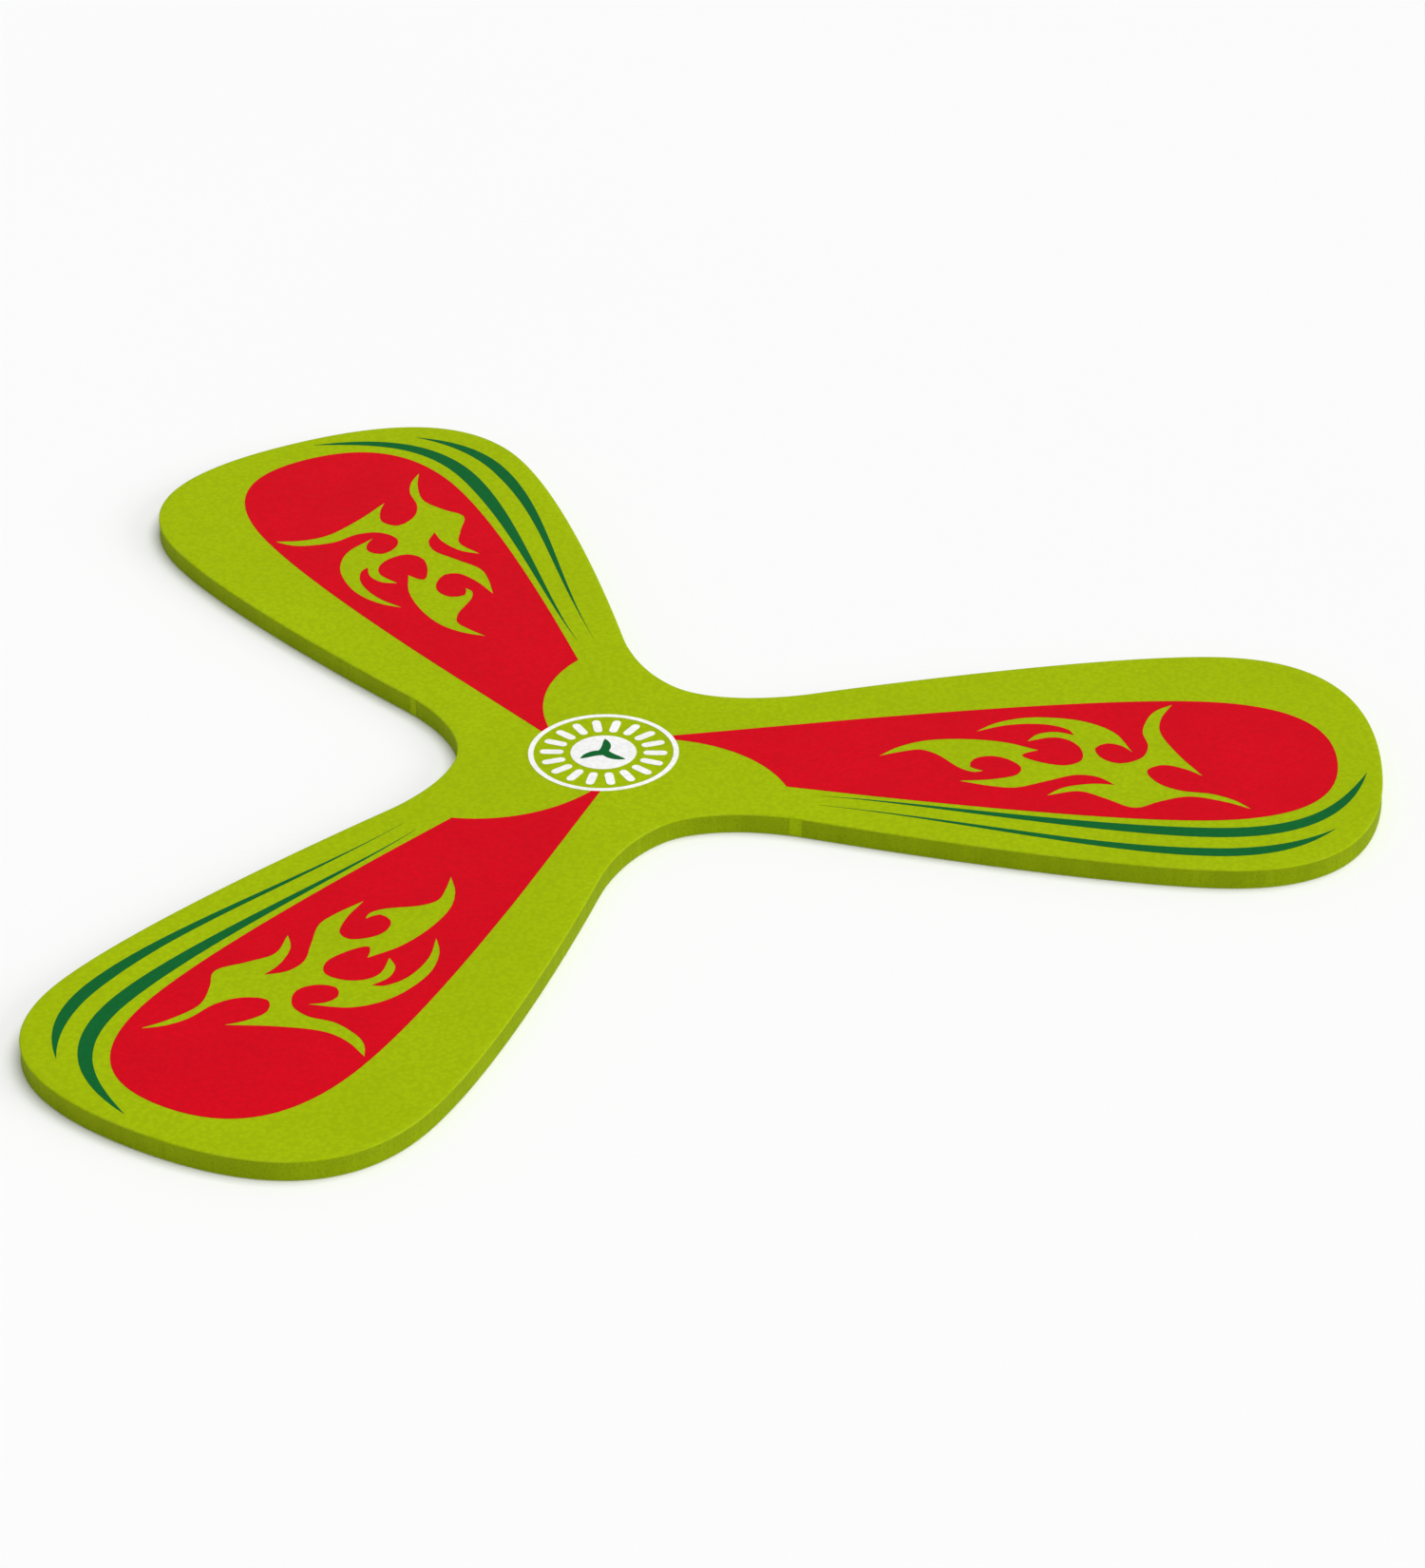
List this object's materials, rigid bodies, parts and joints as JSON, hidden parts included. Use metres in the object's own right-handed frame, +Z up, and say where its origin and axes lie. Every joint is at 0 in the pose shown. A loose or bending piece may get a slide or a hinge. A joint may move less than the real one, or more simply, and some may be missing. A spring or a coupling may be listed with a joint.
{
  "type": "soft foam boomerang",
  "caption": "Flat soft-foam boomerang with rounded blades around a central hub, printed with flame panels, speed stripes and a round hub emblem.",
  "frame": {"origin": "hub centre on the underside of the foam blank", "axes": "+Z up out of the printed face, +X along the first blade; the other blades follow anticlockwise at equal angles"},
  "size_m": [0.241, 0.268, 0.0045],
  "materials": {
    "foam_green": "matt closed-cell foam sheet, skin side out, die-cut edges",
    "print_red": "satin printed ink film",
    "print_dark_green": "satin printed ink film",
    "print_white": "satin printed ink film"
  },
  "bodies": {
    "root": {"foam_blank": "foam_green", "red_panel_1": "print_red", "red_panel_2": "print_red", "red_panel_3": "print_red", "inner_stripe_1": "print_dark_green", "outer_stripe_1": "print_dark_green", "inner_stripe_2": "print_dark_green", "outer_stripe_2": "print_dark_green", "inner_stripe_3": "print_dark_green", "outer_stripe_3": "print_dark_green", "emblem_pinwheel": "print_dark_green", "emblem_ring": "print_white", "emblem_disc": "print_white", "emblem_tick_01": "print_white", "emblem_tick_02": "print_white", "emblem_tick_03": "print_white", "emblem_tick_04": "print_white", "emblem_tick_05": "print_white", "emblem_tick_06": "print_white", "emblem_tick_07": "print_white", "emblem_tick_08": "print_white", "emblem_tick_09": "print_white", "emblem_tick_10": "print_white", "emblem_tick_11": "print_white", "emblem_tick_12": "print_white", "emblem_tick_13": "print_white", "emblem_tick_14": "print_white", "emblem_tick_15": "print_white", "emblem_tick_16": "print_white", "emblem_tick_17": "print_white", "emblem_tick_18": "print_white"}
  },
  "joints": []
}
